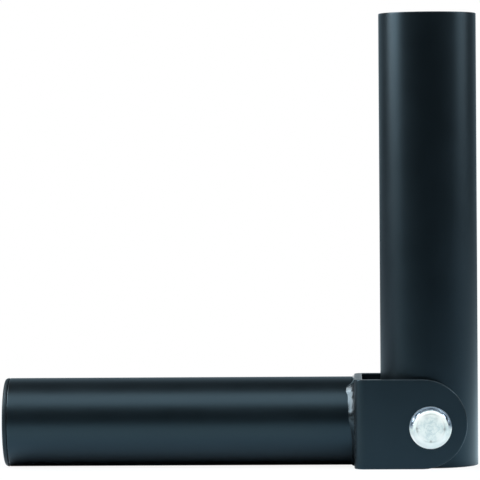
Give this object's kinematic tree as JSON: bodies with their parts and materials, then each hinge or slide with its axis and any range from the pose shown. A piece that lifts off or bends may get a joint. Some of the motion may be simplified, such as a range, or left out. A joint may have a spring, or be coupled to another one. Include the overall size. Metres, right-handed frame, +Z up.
{
  "type": "barbell pivot base",
  "caption": "Steel post for a weight plate's hole with a hinged tube sleeve that holds one end of a barbell as it swings.",
  "frame": {"origin": "on the floor under the middle of the clevis web, the plate that joins the post to the hinge", "axes": "+X along the post, from its capped end to the hinge; +Z up along the sleeve as it stands, towards its open mouth; +Y from the bolt's head to its nut, along the hinge axis"},
  "size_m": [0.2679, 0.0863, 0.255],
  "materials": {
    "powder_coat": "satin black powder coat with a fine orange peel, over steel",
    "black_plastic": "moulded, low gloss",
    "zinc_plate": "bright blue zinc plate",
    "nylon": "natural nylon"
  },
  "bodies": {
    "base": {"post_tube": "powder_coat", "post_weld": "powder_coat", "post_end_cap": "black_plastic", "clevis_bracket": "powder_coat", "pivot_bolt": "zinc_plate", "nut_washer": "zinc_plate", "lock_nut": "zinc_plate", "lock_nut_ring": "nylon"},
    "sleeve": {"bar_sleeve": "powder_coat", "pivot_bush": "powder_coat", "bush_weld_front": "powder_coat", "bush_weld_back": "powder_coat"}
  },
  "joints": [
    {"name": "sleeve_pivot", "type": "hinge", "parent": "base", "child": "sleeve", "pos_m": [0.04023, 0, 0.0232], "axis": [0, 1, 0], "range_deg": [-18, 200]}
  ]
}
